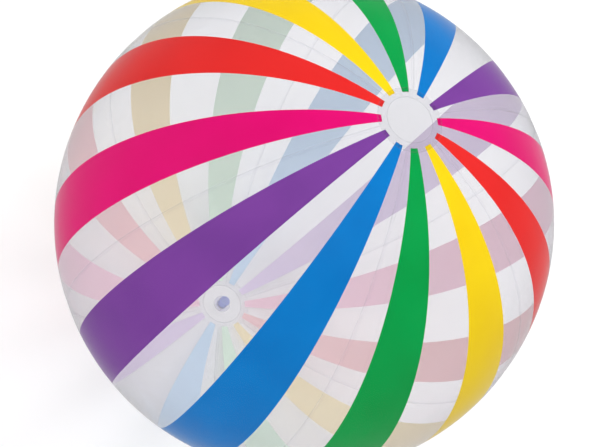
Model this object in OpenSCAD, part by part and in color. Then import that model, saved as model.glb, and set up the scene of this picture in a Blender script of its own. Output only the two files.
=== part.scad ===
// Inflatable beach ball: six clear film gores lap-welded along their meridians, two coloured
// stripes printed inside each gore, a round cap welded over each pole, and a push-in air valve
// in the lower cap. Millimetres. The origin is the ball's centre, +Z runs out through the plain
// cap, the valve faces -Z, and +X runs out through the seam between blue and green.

/* [Ball] */
// Outer diameter of the inflated ball
ball_d = 680; // [500:10:900]
// Thickness of the clear film
film_t = 0.4; // [0.3:0.1:0.8]
// Width of the weld lap, from the seam over the next gore
lap_w = 4; // [2:0.5:8]
// Width of the weld on the gore's own side of the seam
lap_root_w = 1.5; // [1:0.5:3]

/* [Print] */
// Thickness of a printed stripe, colour and white backing together
ink_t = 0.2; // [0.2:0.05:0.4]
// Share of a half gore's width that its stripe covers
stripe_share = 0.47; // [0.2:0.01:0.7]
// Distance from the pole axis at which the stripes end
stripe_end_r = 37.5; // [32:0.5:39]

/* [End caps] */
// Radius of a round end cap
cap_r = 43; // [40:1:60]
// Distance from the pole axis at which the gores are cut off, under the caps
gore_end_r = 30; // [20:1:31]

/* [Valve] */
// Radius of the disc welded under the lower cap
flange_r = 13; // [11:0.5:16]
// Thickness of the disc
flange_t = 1.8; // [1.6:0.1:2.4]
// Outer radius of the stem tube
stem_r = 6.5; // [6:0.1:7]
// Radius of the air bore through the stem
bore_r = 4.6; // [4.6:0.1:4.9]
// Radius of the lip round the stem's mouth
lip_r = 8.5; // [8.2:0.1:9]
// Distance that the stem can be pulled out of the ball
stem_travel = 10; // [4:0.5:14]
// Radius of the plug's flat head
head_r = 7.2; // [6:0.1:7.3]
// Thickness of the plug's flat head
head_t = 1.6; // [1.4:0.1:2.4]
// Length of the plug's tapered peg
peg_l = 5; // [3:0.5:5]

/* [Hidden] */
$fn = 180;
GORES = 6;
GORE_ANGLE = 360 / GORES;
STRIPE_PITCH = GORE_ANGLE / 2;
STRIPES = [
    ["green", [0.00, 0.60, 0.28]],
    ["yellow", [0.98, 0.84, 0.02]],
    ["red", [0.91, 0.17, 0.15]],
    ["magenta", [0.88, 0.05, 0.47]],
    ["purple", [0.48, 0.24, 0.59]],
    ["blue", [0.00, 0.46, 0.76]],
];
FILM_COLOR = [0.92, 0.93, 0.97, 0.30];
VALVE_COLOR = [0.62, 0.64, 0.84, 0.85];

// Gap left between two layers that are welded or printed together.
layer_gap = 0.05;
ball_r = ball_d / 2;
lap_in_r = ball_r + layer_gap;
lap_out_r = lap_in_r + film_t;
ink_out_r = ball_r - film_t - layer_gap;
stripe_angle = STRIPE_PITCH * stripe_share;
// Gap between the end of a lap and the edge of a cap.
lap_end_gap = 0.5;

// Valve heights are measured from the ball's centre, outwards.
valve_gap = 0.3;
face_gap = 0.1;
seat_depth = 0.9;
seat_z = ball_r - seat_depth;
lip_z = seat_z + face_gap;
// Clearance round the lip in the disc's seat and the cap's hole.
lip_hole_r = lip_r + 0.4;
lug_t = 0.6;
lug_z = lap_out_r + 0.15;
lip_top_z = lug_z + lug_t;
sleeve_wall = 1.4;
sleeve_l = 1.4;
sleeve_z = ball_r - flange_t - sleeve_l;
collar_r = stem_r + sleeve_wall + 0.1;
collar_t = 1.2;
collar_gap = 0.6;
stem_in_z = sleeve_z - stem_travel - collar_gap - collar_t;
head_z = lip_top_z + face_gap;
peg_top_r = bore_r - valve_gap;
peg_tip_r = peg_top_r - 1.3;
strap_w = 3;
strap_t = 1;
strap_root_r = 0.6;
// The plug's strap bends about this line, which runs along Y.
plug_hinge_x = lip_r + 0.7;
plug_hinge_z = lip_top_z + 0.2 + strap_root_r;
flap_r = 6.2;
flap_t = 0.5;
flap_tab_w = 5;
flap_root_r = 0.3;
// The check flap bends about this line, which runs along Y.
flap_hinge_x = -(flap_r + 0.7);
flap_z = stem_in_z - face_gap - flap_t;
flap_hinge_z = flap_z + flap_t / 2;

function polar_angle(r) = asin(r / ball_r);
function stripe_name(k) = str(STRIPES[k % GORES][0], "_stripe_", k < GORES ? 1 : 2);
function panel_name(i) = str("panel_", i + 1);

// Half profile of a ball-shaped layer between two angles from the +Z pole.
module layer_profile(r_in, r_out, from, to) {
    far = 2 * r_out;
    intersection() {
        difference() {
            circle(r_out);
            circle(r_in);
        }
        polygon([
            [0, 0],
            [far * sin(from), far * cos(from)],
            [far, far * cos(from)],
            [far, far * cos(to)],
            [far * sin(to), far * cos(to)],
        ]);
    }
}

// Round dished disc, a piece of a ball-shaped layer about the +Z pole.
module dished_disc(r_in, r_out, disc_r) {
    intersection() {
        rotate_extrude() layer_profile(r_in, r_out, 0, polar_angle(disc_r) + 1);
        cylinder(r = disc_r, h = 2 * ball_r);
    }
}

// Strip of a ball-shaped layer along the +X meridian, from y_from to y_to, clear of both caps.
module meridian_strip(r_in, r_out, y_from, y_to) {
    intersection() {
        rotate([0, 0, -GORE_ANGLE / 2])
            rotate_extrude(angle = GORE_ANGLE) layer_profile(r_in, r_out, 1, 179);
        translate([cap_r + lap_end_gap, y_from, -ball_d])
            cube([ball_d, y_to - y_from, 2 * ball_d]);
    }
}

// The valve is drawn about the +Z pole and turned over to the -Z pole.
module at_valve_pole() {
    rotate([180, 0, 0]) children();
}

// One gore of clear film, with the lap that is welded over the next gore's edge.
module panel(i) {
    end_angle = polar_angle(gore_end_r);
    color(FILM_COLOR)
        rotate([0, 0, i * GORE_ANGLE]) {
            rotate_extrude(angle = GORE_ANGLE)
                layer_profile(ball_r - film_t, ball_r, end_angle, 180 - end_angle);
            rotate([0, 0, GORE_ANGLE]) {
                meridian_strip(ball_r - film_t / 2, lap_out_r, -lap_root_w, 0);
                meridian_strip(lap_in_r, lap_out_r, 0, lap_w);
            }
        }
}

// One printed stripe on the inner face of a gore.
module stripe(k) {
    end_angle = polar_angle(stripe_end_r);
    color(STRIPES[k % GORES][1])
        rotate([0, 0, (k + 0.5) * STRIPE_PITCH - stripe_angle / 2])
            rotate_extrude(angle = stripe_angle)
                layer_profile(ink_out_r - ink_t, ink_out_r, end_angle, 180 - end_angle);
}

// Plain round cap welded over the gores' upper ends.
module top_cap() {
    color(FILM_COLOR) dished_disc(lap_in_r, lap_out_r, cap_r);
}

// Round cap over the lower ends, with the hole that the valve's lip sits in.
module valve_cap() {
    color(FILM_COLOR)
        at_valve_pole()
            difference() {
                dished_disc(lap_in_r, lap_out_r, cap_r);
                cylinder(r = lip_hole_r, h = 2 * ball_r);
            }
}

// Disc welded under the lower cap, with a seat for the lip and a short sleeve round the stem.
module valve_flange() {
    color(FILM_COLOR)
        at_valve_pole()
            difference() {
                union() {
                    dished_disc(ball_r - flange_t, ball_r, flange_r);
                    translate([0, 0, sleeve_z])
                        cylinder(r = stem_r + valve_gap + sleeve_wall, h = sleeve_l + flange_t / 2);
                }
                cylinder(r = stem_r + valve_gap, h = 2 * ball_r);
                translate([0, 0, seat_z]) cylinder(r = lip_hole_r, h = ball_r);
            }
}

// Stem tube with its mouth lip, the lug of the plug's strap, and the inner stop collar.
module valve_stem() {
    color(VALVE_COLOR)
        at_valve_pole()
            difference() {
                union() {
                    translate([0, 0, stem_in_z]) cylinder(r = stem_r, h = lip_top_z - stem_in_z);
                    translate([0, 0, stem_in_z]) cylinder(r = collar_r, h = collar_t);
                    translate([0, 0, lip_z]) cylinder(r = lip_r, h = lip_top_z - lip_z);
                    translate([stem_r, -strap_w / 2, lug_z])
                        cube([plug_hinge_x + strap_root_r - stem_r, strap_w, lug_t]);
                }
                cylinder(r = bore_r, h = 2 * ball_r);
            }
}

// Thin disc that closes the stem's inner end and bends open into the ball.
module check_flap() {
    color(VALVE_COLOR)
        at_valve_pole()
            union() {
                translate([0, 0, flap_z]) cylinder(r = flap_r, h = flap_t);
                translate([flap_hinge_x, -flap_tab_w / 2, flap_z])
                    cube([-flap_hinge_x, flap_tab_w, flap_t]);
                translate([flap_hinge_x, flap_tab_w / 2, flap_hinge_z])
                    rotate([90, 0, 0]) cylinder(r = flap_root_r, h = flap_tab_w);
            }
}

// Plug: a flat round head on a tapered peg that fills the stem's mouth.
module valve_plug() {
    color(VALVE_COLOR)
        at_valve_pole()
            union() {
                translate([0, 0, head_z]) cylinder(r = head_r, h = head_t);
                translate([0, 0, head_z - peg_l])
                    cylinder(r1 = peg_tip_r, r2 = peg_top_r, h = peg_l);
            }
}

// Short strap from the plug's head to its rounded bend line over the stem's lug.
module plug_strap() {
    color(VALVE_COLOR)
        at_valve_pole()
            union() {
                difference() {
                    translate([0, -strap_w / 2, plug_hinge_z - strap_t / 2])
                        cube([plug_hinge_x, strap_w, strap_t]);
                    cylinder(r = head_r + layer_gap, h = 2 * ball_r);
                }
                translate([plug_hinge_x, strap_w / 2, plug_hinge_z])
                    rotate([90, 0, 0]) cylinder(r = strap_root_r, h = strap_w);
            }
}

for (i = [0:GORES - 1])
    panel(i);
for (k = [0:2 * GORES - 1])
    stripe(k);
top_cap();
valve_cap();
valve_flange();
valve_stem();
check_flap();
valve_plug();
plug_strap();
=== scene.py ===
"""Looks of the inflatable beach ball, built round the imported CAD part.

Lengths in this file are in millimetres unless a name ends in _M or _m, and become metres when a
mesh is made. The frame is the CAD one: the origin is the ball's centre, +Z runs out through the
plain cap and the valve faces -Z.
"""

import math

import bmesh
import bpy
import numpy as np
from mathutils import Matrix, Vector


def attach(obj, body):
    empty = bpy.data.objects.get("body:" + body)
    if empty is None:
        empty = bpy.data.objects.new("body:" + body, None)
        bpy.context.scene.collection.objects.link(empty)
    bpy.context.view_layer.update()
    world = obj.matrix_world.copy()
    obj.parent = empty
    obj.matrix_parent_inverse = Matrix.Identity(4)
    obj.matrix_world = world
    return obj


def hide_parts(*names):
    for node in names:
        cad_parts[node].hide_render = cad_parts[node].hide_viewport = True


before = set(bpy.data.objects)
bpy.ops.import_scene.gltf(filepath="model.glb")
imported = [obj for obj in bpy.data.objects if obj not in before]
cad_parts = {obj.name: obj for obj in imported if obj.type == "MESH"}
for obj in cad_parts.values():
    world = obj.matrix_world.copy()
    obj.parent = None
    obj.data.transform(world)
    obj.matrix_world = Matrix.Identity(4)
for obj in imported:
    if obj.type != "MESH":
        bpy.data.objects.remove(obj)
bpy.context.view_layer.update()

MM = 0.001

# ---------------------------------------------------------------- sizes, as in the CAD source
BALL_R = 340.0
FILM_T = 0.4
LAYER_GAP = 0.05
INK_T = 0.2
INK_OUT_R = BALL_R - FILM_T - LAYER_GAP
INK_IN_R = INK_OUT_R - INK_T
GORES = 6
GORE_ANGLE = 360 / GORES
STRIPE_HALF = 7.05
STRIPE_CENTRES = (15.0, 45.0)
COLOURS = ("green", "yellow", "red", "magenta", "purple", "blue")
GORE_END_R = 30.0
STRIPE_END_R = 37.5
CAP_R = 43.0
LAP_END_GAP = 0.5
LAP_W = 4.0
LAP_ROOT_W = 1.5
FLOOR_Z = -342.9

# ---------------------------------------------------------------- camera
CAM_LONGITUDE = math.radians(-33.1)
CAM_ELEVATION = math.radians(58.2)
CAM_DISTANCE_M = 2.22
CAM_LENS = 95.5
CAM_SENSOR = 36
CAM_NEAR_M, CAM_FAR_M = 0.05, 60
CAM_ROLL = math.radians(45.6)


def make_camera():
    """Looks at the ball's centre, turned so that the pole axis leans to the upper right."""
    back = Vector((
        math.cos(CAM_ELEVATION) * math.cos(CAM_LONGITUDE),
        math.cos(CAM_ELEVATION) * math.sin(CAM_LONGITUDE),
        math.sin(CAM_ELEVATION),
    ))
    pole = Vector((0, 0, 1))
    up = (pole - back * pole.dot(back)).normalized()
    right = up.cross(back)
    turned_right = right * math.cos(CAM_ROLL) + up * math.sin(CAM_ROLL)
    turned_up = up * math.cos(CAM_ROLL) - right * math.sin(CAM_ROLL)
    data = bpy.data.cameras.new("photo_camera")
    data.lens = CAM_LENS
    data.sensor_width = CAM_SENSOR
    data.clip_start, data.clip_end = CAM_NEAR_M, CAM_FAR_M
    camera = bpy.data.objects.new("photo_camera", data)
    bpy.context.scene.collection.objects.link(camera)
    turn = Matrix((turned_right, turned_up, back)).transposed()
    camera.matrix_world = Matrix.Translation(back * CAM_DISTANCE_M) @ turn.to_4x4()
    bpy.context.scene.camera = camera


make_camera()

# ---------------------------------------------------------------- the blown-up film's relief
rng = np.random.RandomState(7)

# Depth of the film's dip along a seam, and how far it spreads to each side.
SEAM_DIP = 0.7
SEAM_DIP_W = 9.0
# The dip and the puckers fade out between these distances from the pole axis.
SEAM_FADE = (25, 95)

# Puckers: wavelengths along the seam, their shares, and how each seam's set starts and leans.
PUCKER_HEIGHT = 0.42
PUCKER_WAVES = (13.0, 17.5, 23.0, 31.0)
PUCKER_SHARES = (0.8, 1.0, 0.9, 0.7)
PUCKER_PHASE = rng.uniform(0, 1, (GORES, len(PUCKER_WAVES)))
PUCKER_SLANT = rng.uniform(-0.006, 0.006, (GORES, len(PUCKER_WAVES)))
PUCKER_SHARPNESS = 1.4
PUCKER_LEVEL = 0.6
# Reach of a pucker from its seam, what a patch adds to it, and how steeply its end falls off.
PUCKER_REACH, PATCH_REACH = 13, 9
PUCKER_FALL = 1.5
# Strength at the equator, and the latitudes where it grows to full and where it fades again.
PUCKER_LEAST = 0.22
PUCKER_GROWS = (12, 45)
PUCKER_FADES = (72, 84)
# Long waves that gather the puckers into patches.
PATCH_WAVES = (74.0, 131.0, 212.0)
PATCH_PHASE = rng.uniform(0, 2 * math.pi, (GORES, len(PATCH_WAVES)))
PATCH_RANGE = (-1.6, 2.0)

# Radial folds round the caps: numbers of folds in a turn, the distances from the pole axis over
# which they start, and the distance past which they fade, over a width.
FOLD_HEIGHT = 0.17
FOLD_COUNTS = (11, 17, 23, 31, 38)
FOLD_PHASE = rng.uniform(0, 2 * math.pi, (2, len(FOLD_COUNTS)))
FOLD_START_PLAIN = (6, 34)
FOLD_START_VALVE = (20, 40)
FOLD_FULL_R, FOLD_FADE_W = 40, 26

# The plain cap is a flat disc, so it stays a little flatter than the ball.
CAP_FLATNESS = 2.4
CAP_FLAT_RANGE = (4, 54)

# Slight broad unevenness of the whole ball, none at the poles.
SWELL_HEIGHT = 0.16
SWELL_COUNT = 7
SWELL_AXES = rng.normal(0, 1, (SWELL_COUNT, 3))
SWELL_PHASE = rng.uniform(0, 2 * math.pi, SWELL_COUNT)
SWELL_RATE = 3.1
SWELL_START = (26, 80)


def smooth_step(low, high, x):
    t = np.clip((x - low) / (high - low), 0, 1)
    return t * t * (3 - 2 * t)


def puckers(along, off, seam, theta):
    """Height of the puckers across each seam, where the gores' longer edges gather."""
    latitude = np.abs(90 - np.degrees(theta))
    grown = smooth_step(*PUCKER_GROWS, latitude) * (1 - smooth_step(*PUCKER_FADES, latitude))
    strength = PUCKER_LEAST + (1 - PUCKER_LEAST) * grown
    patches = np.zeros_like(along)
    for k, wave in enumerate(PATCH_WAVES):
        patches += np.sin(2 * math.pi * along / wave + PATCH_PHASE[seam, k])
    patches = smooth_step(*PATCH_RANGE, patches)
    gather = np.zeros_like(along)
    for k, (wave, share) in enumerate(zip(PUCKER_WAVES, PUCKER_SHARES)):
        t = along / wave + PUCKER_PHASE[seam, k] + PUCKER_SLANT[seam, k] * off
        gather += share * (np.abs(np.cos(math.pi * t)) ** PUCKER_SHARPNESS - PUCKER_LEVEL)
    reach = PUCKER_REACH + PATCH_REACH * patches
    fall = np.exp(-np.abs(off / reach) ** PUCKER_FALL)
    return PUCKER_HEIGHT * gather * strength * patches * fall


def relief(points):
    """How far the film stands off the plain sphere at each point, outwards."""
    r = np.linalg.norm(points, axis=1)
    theta = np.arccos(np.clip(points[:, 2] / r, -1, 1))
    phi = np.degrees(np.arctan2(points[:, 1], points[:, 0])) % 360
    rho = BALL_R * np.sin(theta)
    nearest = np.round(phi / GORE_ANGLE)
    seam = nearest.astype(int) % GORES
    off = rho * np.radians(phi - nearest * GORE_ANGLE)

    clear_of_pole = smooth_step(*SEAM_FADE, rho)
    out = -SEAM_DIP * clear_of_pole * np.exp(-((off / SEAM_DIP_W) ** 2))
    out += clear_of_pole * puckers(BALL_R * theta, off, seam, theta)

    for pole, (sign, start) in enumerate(((1, FOLD_START_PLAIN), (-1, FOLD_START_VALVE))):
        folds = np.zeros_like(rho)
        for k, count in enumerate(FOLD_COUNTS):
            folds += np.cos(np.radians(phi) * count + FOLD_PHASE[pole, k])
        fade = np.exp(-np.clip(rho - FOLD_FULL_R, 0, None) / FOLD_FADE_W)
        fold = FOLD_HEIGHT * folds * smooth_step(*start, rho) * fade
        out += np.where(points[:, 2] * sign > 0, fold, 0)

    flat = -CAP_FLATNESS * (1 - smooth_step(*CAP_FLAT_RANGE, rho))
    out += np.where(points[:, 2] > 0, flat, 0)

    unit = points / r[:, None]
    swell = np.sin(unit @ SWELL_AXES.T * SWELL_RATE + SWELL_PHASE).sum(1)
    out += SWELL_HEIGHT * swell * smooth_step(*SWELL_START, rho)
    return out


def blown_up(points):
    """Points of a plain ball-shaped layer moved to where the blown-up film is."""
    r = np.linalg.norm(points, axis=1)
    return points * (1 + relief(points) / r)[:, None]


def over(points):
    """Points drawn about +Z, turned over to the valve's side."""
    return points * np.array([1, -1, -1])


def blown_up_over(points):
    return blown_up(over(points))


def on_ball(theta, phi, r):
    """Points at angles from the +Z pole and round it, in degrees, at a distance from the centre."""
    t, p = np.radians(theta), np.radians(phi)
    return np.stack([r * np.sin(t) * np.cos(p), r * np.sin(t) * np.sin(p), r * np.cos(t)], -1)


def polar_angle(rho):
    return math.degrees(math.asin(rho / BALL_R))


# ---------------------------------------------------------------- meshes
NO_LENGTH = 1e-6
JOIN_DISTANCE_M, NO_AREA_M = 2e-6, 1e-6
LATHE_TURNS = 96
SHARP_ANGLE = math.radians(38.0)


class Build:
    """Collects grids of points into one mesh, with a material number for each face."""

    def __init__(self):
        self.points, self.faces, self.marks, self.count = [], [], [], 0

    def add(self, points, faces, mark):
        self.points.append(points)
        self.faces.append(faces + self.count)
        self.marks.append(np.broadcast_to(mark, len(faces)))
        self.count += len(points)

    def shell(self, outer, inner, outer_mark, inner_mark, rim_mark):
        """A closed thin shell between two grids of rows x columns points."""
        rows, cols = outer.shape[:2]
        top = np.arange(rows * cols).reshape(rows, cols)
        low = top + rows * cols
        outside = quads(top)
        inside = quads(low)[:, ::-1]
        rim = np.concatenate([
            strip(low[:, 0], top[:, 0]),
            strip(top[:, -1], low[:, -1]),
            strip(top[0], low[0]),
            strip(low[-1], top[-1]),
        ])
        marks = np.concatenate([
            np.broadcast_to(outer_mark, len(outside)),
            np.broadcast_to(inner_mark, len(inside)),
            np.broadcast_to(rim_mark, len(rim)),
        ])
        points = np.concatenate([outer.reshape(-1, 3), inner.reshape(-1, 3)])
        self.add(points, np.concatenate([outside, inside, rim]), marks)

    def lathe(self, profile, shape, turns=LATHE_TURNS, mark=0):
        """Turns a closed loop of (rho, z) points round Z. shape moves the points afterwards."""
        loop = np.array(profile, float)
        n = len(loop)
        angle = np.arange(turns) * 2 * math.pi / turns
        points = np.stack([
            np.outer(np.cos(angle), loop[:, 0]),
            np.outer(np.sin(angle), loop[:, 0]),
            np.broadcast_to(loop[:, 1], (turns, n)),
        ], -1).reshape(-1, 3)
        at = np.arange(turns * n).reshape(turns, n)
        nxt = np.roll(at, -1, axis=0)
        faces = np.stack([at, nxt, np.roll(nxt, -1, axis=1), np.roll(at, -1, axis=1)], -1)
        on_axis = loop[:, 0] < NO_LENGTH
        keep = ~(on_axis & np.roll(on_axis, -1))
        faces = faces[:, keep].reshape(-1, 4)
        self.add(shape(points), faces, np.tile(np.broadcast_to(mark, n)[keep], turns))

    def object(self, name, materials):
        points = np.concatenate(self.points) * MM
        faces = np.concatenate(self.faces)
        mesh = bpy.data.meshes.new(name)
        mesh.from_pydata(points.tolist(), [], faces.tolist())
        for material in materials:
            mesh.materials.append(material)
        mesh.polygons.foreach_set("material_index", np.concatenate(self.marks).astype(np.int32))
        merge_doubles(mesh)
        mesh.polygons.foreach_set("use_smooth", np.ones(len(mesh.polygons), bool))
        mesh.set_sharp_from_angle(angle=SHARP_ANGLE)
        mesh.update()
        obj = bpy.data.objects.new(name, mesh)
        bpy.context.scene.collection.objects.link(obj)
        return obj


def quads(at):
    """Faces of a grid of point numbers, facing outwards for rows from the +Z pole."""
    return np.stack([at[:-1, :-1], at[1:, :-1], at[1:, 1:], at[:-1, 1:]], -1).reshape(-1, 4)


def strip(a, b):
    """Faces between two rows of point numbers."""
    return np.stack([a[:-1], a[1:], b[1:], b[:-1]], -1)


def merge_doubles(mesh):
    """Joins points in the same place, as on a lathe's axis, and drops faces with no area."""
    bm = bmesh.new()
    bm.from_mesh(mesh)
    bmesh.ops.remove_doubles(bm, verts=bm.verts, dist=JOIN_DISTANCE_M)
    bmesh.ops.dissolve_degenerate(bm, edges=bm.edges, dist=NO_AREA_M)
    bm.to_mesh(mesh)
    bm.free()


# Straight steps in one rounded corner, and the most of a side that a corner may take.
CORNER_STEPS = 3
CORNER_SHARE = 0.45


def rounded(corners):
    """A closed loop of (rho, z) points with each corner rounded by the radius given with it."""
    loop = [np.array(point, float) for point, _ in corners]
    out = []
    for i, corner in enumerate(loop):
        before, after = loop[i - 1], loop[(i + 1) % len(loop)]
        radius = corners[i][1]
        if radius <= 0 or corner[0] < NO_LENGTH:
            out.append(tuple(corner))
            continue
        to_before, to_after = before - corner, after - corner
        len_b, len_a = np.linalg.norm(to_before), np.linalg.norm(to_after)
        reach = min(radius, CORNER_SHARE * len_b, CORNER_SHARE * len_a)
        start, end = corner + to_before / len_b * reach, corner + to_after / len_a * reach
        for k in range(CORNER_STEPS + 1):
            t = k / CORNER_STEPS
            out.append(tuple((1 - t) ** 2 * start + 2 * t * (1 - t) * corner + t * t * end))
    return out


# Most of a box's half thickness that its rounded edges may take.
EDGE_SHARE = 0.98


def soft_box(build, low, high, radius):
    """A box with rounded edges, as a rounded outline swept through a rounded height, turned over
    to the valve's side."""
    low, high = np.array(low, float), np.array(high, float)
    centre, half = (low + high) / 2, (high - low) / 2
    radius = min(radius, *(half * EDGE_SHARE))
    ring = []
    for corner, (sx, sy) in enumerate(((1, 1), (-1, 1), (-1, -1), (1, -1))):
        for k in range(CORNER_STEPS + 1):
            a = math.pi / 2 * (corner + k / CORNER_STEPS)
            x, y = sx * (half[0] - radius), sy * (half[1] - radius)
            ring.append((x, y, math.cos(a), math.sin(a)))
    rows = [[(0, 0, -half[2])] * len(ring)]
    for k in range(-CORNER_STEPS, CORNER_STEPS + 1):
        a = math.pi / 2 * k / CORNER_STEPS
        z = (half[2] - radius) * np.sign(k) + radius * math.sin(a)
        spread = radius * math.cos(a)
        rows.append([(x + spread * c, y + spread * s, z) for x, y, c, s in ring])
    rows.append([(0, 0, half[2])] * len(ring))
    grid = np.array(rows) + centre
    n_rows, n = grid.shape[:2]
    at = np.arange(n_rows * n).reshape(n_rows, n)
    wrap = np.concatenate([at, at[:, :1]], 1)
    faces = np.stack([wrap[:-1, :-1], wrap[:-1, 1:], wrap[1:, 1:], wrap[1:, :-1]], -1)
    build.add(over(grid.reshape(-1, 3)), faces.reshape(-1, 4), 0)


# ---------------------------------------------------------------- materials
class Look:
    """A node material under construction."""

    def __init__(self, name, swatch):
        self.material = bpy.data.materials.new(name)
        self.material.use_nodes = True
        self.material.diffuse_color = (*swatch, 1.0)[:4]
        self.tree = self.material.node_tree
        self.tree.nodes.clear()
        self.out = self.node("ShaderNodeOutputMaterial")
        self.coords = self.node("ShaderNodeTexCoord").outputs["Object"]

    def node(self, kind, **values):
        made = self.tree.nodes.new(kind)
        for key, value in values.items():
            setattr(made, key, value)
        return made

    def link(self, source, target):
        self.tree.links.new(source, target)

    def feed(self, socket, value):
        """Links another node's output to a socket, or writes a plain value into it."""
        if isinstance(value, bpy.types.NodeSocket):
            self.link(value, socket)
        else:
            socket.default_value = value

    def set(self, node, **values):
        for key, value in values.items():
            self.feed(node.inputs[key.replace("_", " ")], value)
        return node

    def noise(self, scale, detail=2.0):
        made = self.node("ShaderNodeTexNoise")
        self.set(made, Vector=self.coords, Scale=scale, Detail=detail, Roughness=0.5)
        return made.outputs["Fac"]

    def spread(self, value, low, high, from_low=0.3, from_high=0.7):
        """Brings a noise value into a range."""
        made = self.node("ShaderNodeMapRange")
        self.set(made, Value=value, From_Min=from_low, From_Max=from_high, To_Min=low, To_Max=high)
        return made.outputs["Result"]

    def maths(self, operation, a, b):
        made = self.node("ShaderNodeMath", operation=operation)
        self.feed(made.inputs[0], a)
        self.feed(made.inputs[1], b)
        return made.outputs[0]

    def two_colours(self, factor, a, b):
        made = self.node("ShaderNodeMix", data_type="RGBA")
        self.link(factor, made.inputs[0])
        for socket, value in ((made.inputs[6], a), (made.inputs[7], b)):
            self.feed(socket, (*value, 1) if isinstance(value, tuple) else value)
        return made.outputs[2]

    def bump(self, height, strength, distance):
        made = self.node("ShaderNodeBump")
        self.set(made, Height=height, Strength=strength, Distance=distance * MM)
        return made.outputs["Normal"]

    def mixed(self, factor, a, b):
        made = self.node("ShaderNodeMixShader")
        self.feed(made.inputs[0], factor)
        self.link(a.outputs[0], made.inputs[1])
        self.link(b.outputs[0], made.inputs[2])
        return made

    def finish(self, shader):
        self.link(shader.outputs[0], self.out.inputs["Surface"])
        return self.material


# Clear film. Swatches are the plain colours of a solid view.
FILM_SWATCH = (0.93, 0.93, 0.97, 0.2)
BONDED_SWATCH = (0.95, 0.95, 0.98, 0.05)
HAZE_COLOUR = (0.84, 0.83, 0.87, 1)
WELD_COLOUR = (0.60, 0.59, 0.63, 1)
# What one layer lets through, seen face on and seen edge on.
FAINT = (0.985, 0.985, 0.990), (0.97, 0.97, 0.975)
GREY = (0.918, 0.917, 0.924), (0.74, 0.74, 0.76)
CAP_GREY = (0.840, 0.840, 0.850), GREY[1]
# Least and most share of haze over the film.
NO_HAZE = (0.0, 0.001)
BONDED_HAZE = (0.0, 0.0015)
INSIDE_HAZE = (0.030, 0.070)
WELD_HAZE = (0.06, 0.12)
# Share of mirror seen edge on, and how fast the grey and the mirror grow towards the edge.
GRAZING_MIRROR = 0.50
GREY_GROWTH = 2.5
MIRROR_GROWTH = 7.0
# Scales of the noises, per metre, and the shares of the first two in the haze's clouds.
FILM_BROAD, FILM_MIDDLE, FILM_FINE = 7, 55, 420
CLOUD_BROAD, CLOUD_MIDDLE = 0.7, 0.3
# Share of the fine noise in the film's waviness.
WAVES_FINE = 0.10
HAZE_ROUGHNESS = (0.30, 0.45)
GLOSS_ROUGHNESS = (0.06, 0.13)


def film_look(name, tints, haze_range, head_on_mirror, haze_colour=HAZE_COLOUR):
    """Clear glossy vinyl film: what is behind shows through, greyer where the film is seen edge on,
    under a thin haze and a clear gloss."""
    look = Look(name, FILM_SWATCH)
    broad, middle, fine = look.noise(FILM_BROAD), look.noise(FILM_MIDDLE, 3), look.noise(FILM_FINE)
    facing = look.node("ShaderNodeLayerWeight")
    facing.inputs["Blend"].default_value = 0.5
    slant = facing.outputs["Facing"]
    passed = look.two_colours(look.maths("POWER", slant, GREY_GROWTH), *tints)
    through = look.set(look.node("ShaderNodeBsdfTransparent"), Color=passed)
    height = look.maths("ADD", middle, look.maths("MULTIPLY", fine, WAVES_FINE))
    normal = look.bump(height, strength=0.35, distance=0.5)
    haze = look.set(
        look.node("ShaderNodeBsdfPrincipled"),
        Base_Color=haze_colour, Roughness=look.spread(middle, *HAZE_ROUGHNESS), Normal=normal,
    )
    broad_part = look.maths("MULTIPLY", broad, CLOUD_BROAD)
    middle_part = look.maths("MULTIPLY", middle, CLOUD_MIDDLE)
    cloudy = look.spread(look.maths("ADD", broad_part, middle_part), *haze_range)
    body = look.mixed(cloudy, through, haze)
    edge = look.maths("MULTIPLY", look.maths("POWER", slant, MIRROR_GROWTH), GRAZING_MIRROR)
    shine = look.set(
        look.node("ShaderNodeBsdfGlossy"),
        Color=(1, 1, 1, 1), Roughness=look.spread(middle, *GLOSS_ROUGHNESS), Normal=normal,
    )
    return look.finish(look.mixed(look.maths("ADD", edge, head_on_mirror), body, shine))


def bonded_film_look(name, tint):
    """Film bonded to what lies under it, ink or another film: no air between, so no gloss."""
    look = Look(name, BONDED_SWATCH)
    through = look.set(look.node("ShaderNodeBsdfTransparent"), Color=(*tint, 1))
    haze = look.set(look.node("ShaderNodeBsdfDiffuse"), Color=HAZE_COLOUR)
    return look.finish(look.mixed(look.spread(look.noise(30), *BONDED_HAZE), through, haze))


# Ink: the grain's share of the darker tone, and the part of the noise that shows as grain.
INK_GRAIN = (0.0, 0.16)
INK_GRAIN_FROM = (0.35, 0.75)


def ink_look(name, colour, dark, roughness, specular):
    """Screen-printed vinyl ink: dense colour with slight mottling and a fine grain."""
    look = Look(name, colour)
    patches, grain = look.noise(16, 3), look.noise(900, 1)
    tone = look.two_colours(look.spread(patches, 0.0, 1.0), dark, colour)
    speck = look.spread(grain, *INK_GRAIN, *INK_GRAIN_FROM)
    shader = look.set(
        look.node("ShaderNodeBsdfPrincipled"),
        Base_Color=look.two_colours(speck, tone, dark),
        Roughness=look.spread(patches, roughness - 0.05, roughness + 0.06),
        Normal=look.bump(grain, strength=0.15, distance=0.05), Specular_IOR_Level=specular,
    )
    return look.finish(shader)


VINYL_ROUGHNESS = (0.26, 0.40)
VINYL_SCATTER_M = (0.004, 0.004, 0.005)


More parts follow.
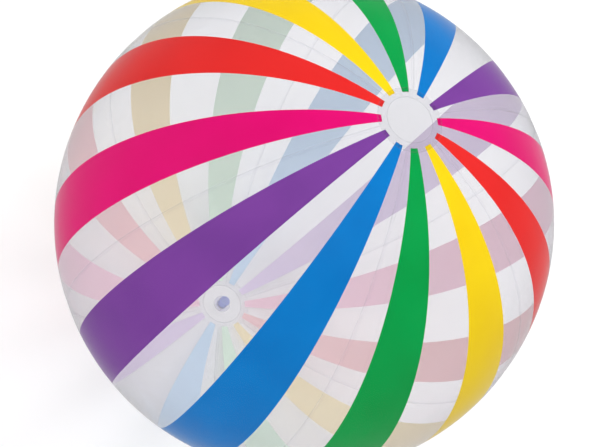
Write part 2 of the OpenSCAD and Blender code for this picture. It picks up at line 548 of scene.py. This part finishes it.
def vinyl_look(name, colour, dark, alpha):
    """Soft moulded vinyl, half clear: cloudy colour, fine mould texture, soft gloss."""
    look = Look(name, colour)
    cloud, grain = look.noise(160, 3), look.noise(1500)
    shader = look.set(
        look.node("ShaderNodeBsdfPrincipled"),
        Base_Color=look.two_colours(look.spread(cloud, 0.0, 1.0), dark, colour),
        Roughness=look.spread(cloud, *VINYL_ROUGHNESS),
        Normal=look.bump(grain, strength=0.25, distance=0.06), Alpha=alpha,
        Subsurface_Weight=0.25, Subsurface_Radius=VINYL_SCATTER_M, Subsurface_Scale=0.5,
    )
    return look.finish(shader)


# Colour and darker mottling of each ink, and of the pale backing that shows from inside.
# The backing's pale tone is partly the white underprint and partly painted light: it is made paler
# to stand in for the light that comes in through the thin ink.
INK = {
    "green": ((0.000, 0.325, 0.062), (0.000, 0.290, 0.052)),
    "yellow": ((0.840, 0.600, 0.005), (0.800, 0.550, 0.004)),
    "red": ((0.720, 0.022, 0.020), (0.670, 0.018, 0.016)),
    "magenta": ((0.690, 0.001, 0.150), (0.640, 0.001, 0.132)),
    "purple": ((0.180, 0.046, 0.290), (0.155, 0.040, 0.260)),
    "blue": ((0.000, 0.180, 0.520), (0.000, 0.155, 0.470)),
}
# Pale underprint seen from inside, lightened with painted light that stands in for light shining in
# through the ink.
BACKING_AND_PAINTED_LIGHT = {
    "green": ((0.780, 0.950, 0.820), (0.750, 0.930, 0.790)),
    "yellow": ((0.970, 0.880, 0.620), (0.960, 0.860, 0.590)),
    "red": ((0.950, 0.690, 0.700), (0.940, 0.660, 0.670)),
    "magenta": ((0.950, 0.710, 0.800), (0.940, 0.680, 0.780)),
    "purple": ((0.820, 0.740, 0.920), (0.790, 0.710, 0.900)),
    "blue": ((0.660, 0.820, 0.970), (0.630, 0.800, 0.960)),
}

outer_film = film_look("clear_film_outside", FAINT, NO_HAZE, 0.005)
inner_film = film_look("clear_film_inside", GREY, INSIDE_HAZE, 0.020)
cap_film = film_look("cap_film_inside", CAP_GREY, INSIDE_HAZE, 0.020)
weld_film = film_look("weld_film", FAINT, WELD_HAZE, 0.010, WELD_COLOUR)
bonded_film = bonded_film_look("film_behind_print", FAINT[0])
bonded_cap = bonded_film_look("cap_film_bonded", GREY[0])
ink = {c: ink_look(c + "_ink", *INK[c], roughness=0.42, specular=0.06) for c in COLOURS}
# The backing materials carry painted light: their pale colour stands in for light coming in through
# the ink.
backing_and_painted_light = {c: ink_look(c + "_backing", *BACKING_AND_PAINTED_LIGHT[c], roughness=0.50, specular=0.4) for c in COLOURS}
milky = vinyl_look("milky_vinyl", (0.92, 0.92, 0.97), (0.88, 0.88, 0.94), alpha=0.45)
lavender = vinyl_look("valve_vinyl", (0.46, 0.51, 0.84), (0.41, 0.46, 0.79), alpha=0.95)


def place(obj, body, slot, *nodes):
    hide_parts(*nodes)
    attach(obj, body)


# ---------------------------------------------------------------- film gores
# Material numbers on a gore's faces.
CLEAR, INSIDE, WELD, BONDED = 0, 1, 2, 3
GORE_LOOKS = [outer_film, inner_film, weld_film, bonded_film]

# Degrees of longitude from a seam, closer together at the seam.
NEAR_SEAM = [0, 0.35, 0.75, 1.2, 1.75, 2.4, 3.2, 4.2, 5.4, 6.6]
STRIPE_STEPS = 10
GAP_STEPS = 11
# Degrees between rows near the poles and near the equator, and where one gives way to the other.
FINE_ROW, COARSE_ROW, ROW_CHANGE = 0.46, 0.80, 62.0
# The least step that a gore's rows keep from a stripe's end.
ROW_MARGIN = 0.1


def spaced(start, stop, steps):
    return list(np.linspace(start, stop, steps + 1)[:-1])


def gore_columns():
    first, second = STRIPE_CENTRES
    return np.array(
        NEAR_SEAM
        + spaced(first - STRIPE_HALF, first + STRIPE_HALF, STRIPE_STEPS)
        + spaced(first + STRIPE_HALF, second - STRIPE_HALF, GAP_STEPS)
        + spaced(second - STRIPE_HALF, second + STRIPE_HALF, STRIPE_STEPS)
        + [second + STRIPE_HALF]
        + [GORE_ANGLE - a for a in NEAR_SEAM[::-1]]
    )


def row_angles(end_angle):
    """Angles from the +Z pole of the rows, closer together where the film is puckered."""
    upper = list(np.arange(end_angle, ROW_CHANGE, FINE_ROW))
    steps = round((90 - ROW_CHANGE) / COARSE_ROW)
    half = upper + list(np.linspace(ROW_CHANGE, 90, steps + 1))
    return np.array(half + [180 - a for a in half[-2::-1]])


def between(angles, end_angle):
    """Which of the angles lie further from both poles than end_angle."""
    return (angles > end_angle) & (angles < 180 - end_angle)


GORE_COLS = gore_columns()
ROWS = row_angles(polar_angle(GORE_END_R))
STRIPE_END = polar_angle(STRIPE_END_R)
STRIPE_ROWS = np.concatenate([
    [STRIPE_END], ROWS[between(ROWS, STRIPE_END + ROW_MARGIN)], [180 - STRIPE_END],
])
LAP_ROWS = ROWS[between(ROWS, polar_angle(CAP_R + LAP_END_GAP))]


def layer(rows, cols, r):
    theta, phi = np.meshgrid(rows, cols, indexing="ij")
    points = on_ball(theta, phi, r).reshape(-1, 3)
    return blown_up(points).reshape(len(rows), len(cols), 3)


# The lap in section: distance from the seam, height over the gores, material of each step.
LAP_ACROSS = np.array([-LAP_ROOT_W, -1.2, -0.55, 0.55, 1.6, 2.9, 3.6, LAP_W])
LAP_HEIGHT = np.array([0.05, 0.30, 0.45, 0.45, 0.40, 0.40, 0.30, 0.05])
LAP_MARKS = np.array([CLEAR, CLEAR, WELD, CLEAR, CLEAR, CLEAR, CLEAR])
LAP_UNDERSIDE = 0.02


def lap_band(build, seam_angle):
    """The weld lap over the next gore: a clear band with soft edges and the thin weld line in
    it."""
    rho = BALL_R * np.sin(np.radians(LAP_ROWS))
    phi = seam_angle + np.degrees(LAP_ACROSS[None, :] / rho[:, None])
    theta = np.broadcast_to(LAP_ROWS[:, None], phi.shape)
    grids = []
    for height in (LAP_HEIGHT, np.full(len(LAP_ACROSS), LAP_UNDERSIDE)):
        r = np.broadcast_to(BALL_R + height, phi.shape)
        points = on_ball(theta, phi, r).reshape(-1, 3)
        grids.append(blown_up(points).reshape(*phi.shape, 3))
    outside = np.tile(LAP_MARKS, len(LAP_ROWS) - 1)
    build.shell(*grids, outer_mark=outside, inner_mark=CLEAR, rim_mark=CLEAR)


def inner_face_marks():
    """Material numbers of a gore's inner faces: bonded to the ink where a stripe is."""
    mid_cols = (GORE_COLS[:-1] + GORE_COLS[1:]) / 2
    mid_rows = (ROWS[:-1] + ROWS[1:]) / 2
    in_stripe = np.zeros(len(mid_cols), bool)
    for centre in STRIPE_CENTRES:
        in_stripe |= np.abs(mid_cols - centre) < STRIPE_HALF
    behind_print = between(mid_rows, STRIPE_END)[:, None] & in_stripe[None, :]
    return np.where(behind_print, BONDED, INSIDE).reshape(-1)


inner_marks = inner_face_marks()
for i in range(GORES):
    build = Build()
    cols = GORE_COLS + i * GORE_ANGLE
    build.shell(layer(ROWS, cols, BALL_R), layer(ROWS, cols, BALL_R - FILM_T),
                outer_mark=CLEAR, inner_mark=inner_marks, rim_mark=WELD)
    lap_band(build, (i + 1) * GORE_ANGLE)
    gore = build.object(f"gore_film_{i + 1}", GORE_LOOKS)
    place(gore, "ball", "clear_film", f"panel_{i + 1}")

# ---------------------------------------------------------------- printed stripes
# Material numbers on a stripe's faces.
FRONT, BACK = 0, 1

for k in range(2 * GORES):
    colour = COLOURS[k % GORES]
    centre = (k + 0.5) * GORE_ANGLE / 2
    cols = centre + np.linspace(-STRIPE_HALF, STRIPE_HALF, STRIPE_STEPS + 1)
    build = Build()
    build.shell(layer(STRIPE_ROWS, cols, INK_OUT_R), layer(STRIPE_ROWS, cols, INK_IN_R),
                outer_mark=FRONT, inner_mark=BACK, rim_mark=BACK)
    half = 1 if k < GORES else 2
    stripe = build.object(f"{colour}_print_{half}", [ink[colour], backing_and_painted_light[colour]])
    place(stripe, "ball", colour + "_ink", f"{colour}_stripe_{half}")

# ---------------------------------------------------------------- end caps
# Material numbers on a cap's faces: outside, inside where it is welded down, rim, inside within
# the gores' ends.
CAP_OUTSIDE, CAP_BONDED, CAP_RIM, CAP_INSIDE = 0, 1, 2, 3
TOP_CAP_LOOKS = [outer_film, bonded_cap, weld_film, cap_film]
VALVE_CAP_LOOKS = [outer_film, bonded_film, weld_film, inner_film]
CAP_TURNS = 240
LIP_HOLE_R = 8.9

# The rows of a cap: coarse up to CAP_FINE_R, then fine through the weld to its rounded rim.
CAP_FINE_R = 34
CAP_COARSE_ROWS, CAP_FINE_ROWS = 12, 14
CAP_RIM_STEPS = (0.9, 0.35)
CAP_RIM_DROP = 0.22
# Ridge and groove pressed by the weld: height, distance from the pole axis, width.
WELD_RIDGE = (0.28, 39.2, 1.6)
WELD_GROOVE = (0.12, 35.6, 0.9)


def bell(x, height, centre, width):
    return height * np.exp(-((x - centre) / width) ** 2)


def cap_profile(hole_r):
    """Half section of a cap in (rho, z) on the plain ball, with a pressed weld ring near its rim,
    and the material number of the face that starts at each point."""
    stops = np.unique(np.concatenate([
        np.linspace(hole_r, CAP_FINE_R, CAP_COARSE_ROWS),
        np.linspace(CAP_FINE_R, CAP_R - CAP_RIM_STEPS[0], CAP_FINE_ROWS),
        [CAP_R - CAP_RIM_STEPS[1], CAP_R],
    ]))
    angles = np.arcsin(stops / BALL_R)
    weld = bell(stops, *WELD_RIDGE) - bell(stops, *WELD_GROOVE)
    outer_r = BALL_R + LAYER_GAP + FILM_T + weld + np.where(stops >= CAP_R, -CAP_RIM_DROP, 0)
    inner_r = np.full_like(stops, BALL_R + LAYER_GAP)
    inner, outer = (
        [(r * math.sin(a), r * math.cos(a)) for a, r in zip(angles, radii)]
        for radii in (inner_r, outer_r)
    )
    inside = [CAP_INSIDE if stop < GORE_END_R else CAP_BONDED for stop in stops[:-1]]
    rim = [CAP_RIM] * 3
    outside = [CAP_OUTSIDE] * (len(inner) + len(outer) - len(inside) - len(rim))
    return inner + outer[::-1], inside + rim + outside


for name, node, hole_r, looks, shape in (
    ("top_cap_film", "top_cap", 0.0, TOP_CAP_LOOKS, blown_up),
    ("valve_cap_film", "valve_cap", LIP_HOLE_R, VALVE_CAP_LOOKS, blown_up_over),
):
    profile, marks = cap_profile(hole_r)
    build = Build()
    build.lathe(profile, shape, CAP_TURNS, marks)
    place(build.object(name, looks), "ball", "clear_film", node)

# ---------------------------------------------------------------- valve, drawn about +Z
FLANGE_R, SLEEVE_R, STEM_HOLE_R = 13.0, 8.2, 6.8
FLANGE_IN_Z, FLANGE_OUT_Z, SLEEVE_Z, SEAT_Z = 338.2, 339.98, 336.8, 339.1
FLANGE_GROOVE = 0.35
FLANGE_RIM_DROP = BALL_R - math.sqrt(BALL_R ** 2 - FLANGE_R ** 2)

build = Build()
build.lathe(rounded([
    ((STEM_HOLE_R, SLEEVE_Z), 0.3),
    ((SLEEVE_R, SLEEVE_Z), 0.5),
    ((SLEEVE_R, FLANGE_IN_Z), 0.5),
    ((10.4, FLANGE_IN_Z), 0.2),
    ((10.8, FLANGE_IN_Z + FLANGE_GROOVE), 0.2),
    ((11.4, FLANGE_IN_Z + FLANGE_GROOVE), 0.2),
    ((11.8, FLANGE_IN_Z), 0.2),
    ((FLANGE_R, FLANGE_IN_Z - FLANGE_RIM_DROP), 0.6),
    ((FLANGE_R, FLANGE_OUT_Z - FLANGE_RIM_DROP), 0.5),
    ((LIP_HOLE_R, FLANGE_OUT_Z - 0.1), 0.2),
    ((LIP_HOLE_R, SEAT_Z), 0.2),
    ((STEM_HOLE_R, SEAT_Z), 0.2),
]), over)
place(build.object("valve_flange_moulded", [milky]), "ball", "milky_vinyl", "valve_flange")

STEM_R, BORE_R, LIP_R, COLLAR_R = 6.5, 4.6, 8.5, 8.0
STEM_IN_Z, COLLAR_TOP_Z, LIP_Z, LIP_TOP_Z = 325.0, 326.2, 339.2, 341.2
# A moulded ring round the stem's tube, and a groove round its mouth.
STEM_RING, STEM_RING_R = (330.2, 330.4, 330.8, 331.0), STEM_R + 0.15
MOUTH_GROOVE, MOUTH_GROOVE_Z = (6.6, 6.3, 5.9, 5.6), LIP_TOP_Z - 0.25
LUG_Z, HINGE_X, HINGE_Z, ROOT_R = 340.6, 9.2, 342.0, 0.6
STRAP_W, STRAP_T = 3.0, 1.0
# How far outside the tube the lug begins, within the lip; how far the strap runs into the head
# and past its bend line; and how far within their neighbours' faces nearly flush faces lie.
LUG_FROM_TUBE, STRAP_SINK, STRAP_PAST_HINGE, FACE_EASE = 0.4, 0.3, 0.55, 0.02

build = Build()
build.lathe(rounded([
    ((BORE_R, STEM_IN_Z), 0.3),
    ((COLLAR_R, STEM_IN_Z), 0.4),
    ((COLLAR_R, COLLAR_TOP_Z), 0.4),
    ((STEM_R, COLLAR_TOP_Z), 0.3),
    ((STEM_R, STEM_RING[0]), 0.1),
    ((STEM_RING_R, STEM_RING[1]), 0.1),
    ((STEM_RING_R, STEM_RING[2]), 0.1),
    ((STEM_R, STEM_RING[3]), 0.1),
    ((STEM_R, LIP_Z), 0.25),
    ((LIP_R, LIP_Z), 0.7),
    ((LIP_R, LIP_TOP_Z), 0.8),
    ((MOUTH_GROOVE[0], LIP_TOP_Z), 0.2),
    ((MOUTH_GROOVE[1], MOUTH_GROOVE_Z), 0.1),
    ((MOUTH_GROOVE[2], MOUTH_GROOVE_Z), 0.1),
    ((MOUTH_GROOVE[3], LIP_TOP_Z), 0.2),
    ((BORE_R, LIP_TOP_Z), 0.3),
]), over)
soft_box(build, (STEM_R + LUG_FROM_TUBE, -STRAP_W / 2, LUG_Z),
         (HINGE_X + ROOT_R, STRAP_W / 2, LIP_TOP_Z - FACE_EASE), radius=0.22)
place(build.object("valve_stem_moulded", [lavender]), "stem", "valve_vinyl", "valve_stem")

HEAD_R, HEAD_Z, HEAD_T, PEG_L, PEG_TIP_R, PEG_TOP_R = 7.2, 341.3, 1.6, 5.0, 3.0, 4.3
HEAD_TOP_Z = HEAD_Z + HEAD_T

build = Build()
build.lathe(rounded([
    ((0, HEAD_Z - PEG_L), 0),
    ((PEG_TIP_R, HEAD_Z - PEG_L), 0.7),
    ((3.7, HEAD_Z - 2.6), 0.3),
    ((4.1, HEAD_Z - 2.3), 0.3),
    ((PEG_TOP_R, HEAD_Z - 0.4), 0.2),
    ((PEG_TOP_R, HEAD_Z), 0.2),
    ((HEAD_R, HEAD_Z), 0.6),
    ((HEAD_R, HEAD_TOP_Z), 0.7),
    ((5.6, HEAD_TOP_Z), 0.4),
    ((5.0, HEAD_TOP_Z - 0.35), 0.4),
    ((0, HEAD_TOP_Z - 0.45), 0),
]), over)
place(build.object("valve_plug_moulded", [lavender]), "plug", "valve_vinyl", "valve_plug")

build = Build()
soft_box(build, (HEAD_R - STRAP_SINK, -STRAP_W / 2, HINGE_Z - STRAP_T / 2),
         (HINGE_X + STRAP_PAST_HINGE, STRAP_W / 2, HINGE_Z + STRAP_T / 2), radius=0.42)
place(build.object("plug_strap_moulded", [lavender]), "plug", "valve_vinyl", "plug_strap")

FLAP_R, FLAP_T, FLAP_Z, FLAP_HINGE_X, FLAP_TAB_W = 6.2, 0.5, 324.4, -6.9, 5.0
FLAP_RIM_STEP = 0.12
# The tab of the flap, from past its bend line to a point within the disc.
FLAP_TAB_START_X, FLAP_TAB_END_X = FLAP_HINGE_X - 0.25, -4.2

build = Build()
build.lathe(rounded([
    ((0, FLAP_Z), 0),
    ((4.6, FLAP_Z), 0.1),
    ((5.2, FLAP_Z + FLAP_RIM_STEP), 0.1),
    ((FLAP_R, FLAP_Z + FLAP_RIM_STEP), 0.15),
    ((FLAP_R, FLAP_Z + FLAP_T), 0.15),
    ((0, FLAP_Z + FLAP_T), 0),
]), over)
soft_box(build, (FLAP_TAB_START_X, -FLAP_TAB_W / 2, FLAP_Z + FACE_EASE),
         (FLAP_TAB_END_X, FLAP_TAB_W / 2, FLAP_Z + FLAP_T - FACE_EASE), radius=0.2)
place(build.object("check_flap_sheet", [lavender]), "flap", "valve_vinyl", "check_flap")

# ---------------------------------------------------------------- floor, lights, world
FLOOR_HALF_M = 9.0
FLOOR_DROP_M = 0.0003
FLOOR_SWATCH = (0.9, 0.9, 0.9)
FLOOR_TONES = (0.39, 0.39, 0.395), (0.41, 0.41, 0.415)
FLOOR_GLOW = 0.60
SKY_LIGHT = 0.85
SKY_SEEN = 1.35
# Two heights of a mirrored direction, and the sky's brightness there; between them it changes
# evenly.
MIRROR_HEIGHTS = (-0.5, 0.9)
MIRROR_SKY = (0.90, 0.16)
TRANSPARENT_BOUNCES = 40


def make_floor():
    """A pale light table: matt, lit from below as in a product studio, and open to a view from
    underneath."""
    mesh = bpy.data.meshes.new("floor")
    size, z = FLOOR_HALF_M, FLOOR_Z * MM - FLOOR_DROP_M
    mesh.from_pydata([(-size, -size, z), (size, -size, z), (size, size, z), (-size, size, z)],
                     [], [(0, 1, 2, 3)])
    look = Look("floor", FLOOR_SWATCH)
    tone = look.two_colours(look.spread(look.noise(1.5, 3), 0.0, 1.0), *FLOOR_TONES)
    shader = look.set(
        look.node("ShaderNodeBsdfPrincipled"),
        Base_Color=tone, Roughness=0.7,
        Emission_Color=(1, 1, 1, 1), Emission_Strength=FLOOR_GLOW,
    )
    side, clear = look.node("ShaderNodeNewGeometry"), look.node("ShaderNodeBsdfTransparent")
    mesh.materials.append(look.finish(look.mixed(side.outputs["Backfacing"], shader, clear)))
    floor = bpy.data.objects.new("floor", mesh)
    floor.visible_glossy = False
    bpy.context.scene.collection.objects.link(floor)


def soft_light(name, at_m, size_m, watts, colour):
    """A round lamp that faces the ball's centre and is not seen in the gloss."""
    data = bpy.data.lights.new(name, "AREA")
    data.shape = "DISK"
    data.size = size_m
    data.energy = watts
    data.color = colour
    light = bpy.data.objects.new(name, data)
    bpy.context.scene.collection.objects.link(light)
    light.visible_glossy = False
    light.location = at_m
    light.rotation_mode = "QUATERNION"
    light.rotation_quaternion = (-Vector(at_m)).to_track_quat("-Z", "Y")


def make_world():
    """White all round for light and for the view, and a greyer sky in what the gloss mirrors."""
    world = bpy.data.worlds.new("studio")
    world.use_nodes = True
    tree = world.node_tree
    tree.nodes.clear()
    link = tree.links.new
    light, seen, mirrored = (tree.nodes.new("ShaderNodeBackground") for _ in range(3))
    light.inputs["Strength"].default_value = SKY_LIGHT
    seen.inputs["Strength"].default_value = SKY_SEEN
    height = tree.nodes.new("ShaderNodeSeparateXYZ")
    link(tree.nodes.new("ShaderNodeTexCoord").outputs["Generated"], height.inputs[0])
    fall = tree.nodes.new("ShaderNodeMapRange")
    link(height.outputs["Z"], fall.inputs["Value"])
    for end, at_height, brightness in zip(("Min", "Max"), MIRROR_HEIGHTS, MIRROR_SKY):
        fall.inputs["From " + end].default_value = at_height
        fall.inputs["To " + end].default_value = brightness
    link(fall.outputs["Result"], mirrored.inputs["Strength"])
    ray = tree.nodes.new("ShaderNodeLightPath")
    picked = light
    for kind, sky in (("Is Camera Ray", seen), ("Is Glossy Ray", mirrored)):
        pick = tree.nodes.new("ShaderNodeMixShader")
        link(ray.outputs[kind], pick.inputs[0])
        link(picked.outputs[0], pick.inputs[1])
        link(sky.outputs[0], pick.inputs[2])
        picked = pick
    link(picked.outputs[0], tree.nodes.new("ShaderNodeOutputWorld").inputs[0])
    return world


make_floor()
soft_light("key", (1.2, -0.4, 3.2), 2.6, 48, (1.0, 0.995, 0.98))
soft_light("fill", (0.9, -3.0, 1.4), 2.2, 22, (0.98, 0.99, 1.0))
soft_light("top", (-1.9, 1.4, 2.3), 1.6, 50, (1.0, 1.0, 1.0))

scene = bpy.context.scene
scene.world = make_world()
scene.view_settings.view_transform = "Standard"
scene.view_settings.look = "None"
if hasattr(scene, "cycles"):
    scene.cycles.transparent_max_bounces = TRANSPARENT_BOUNCES
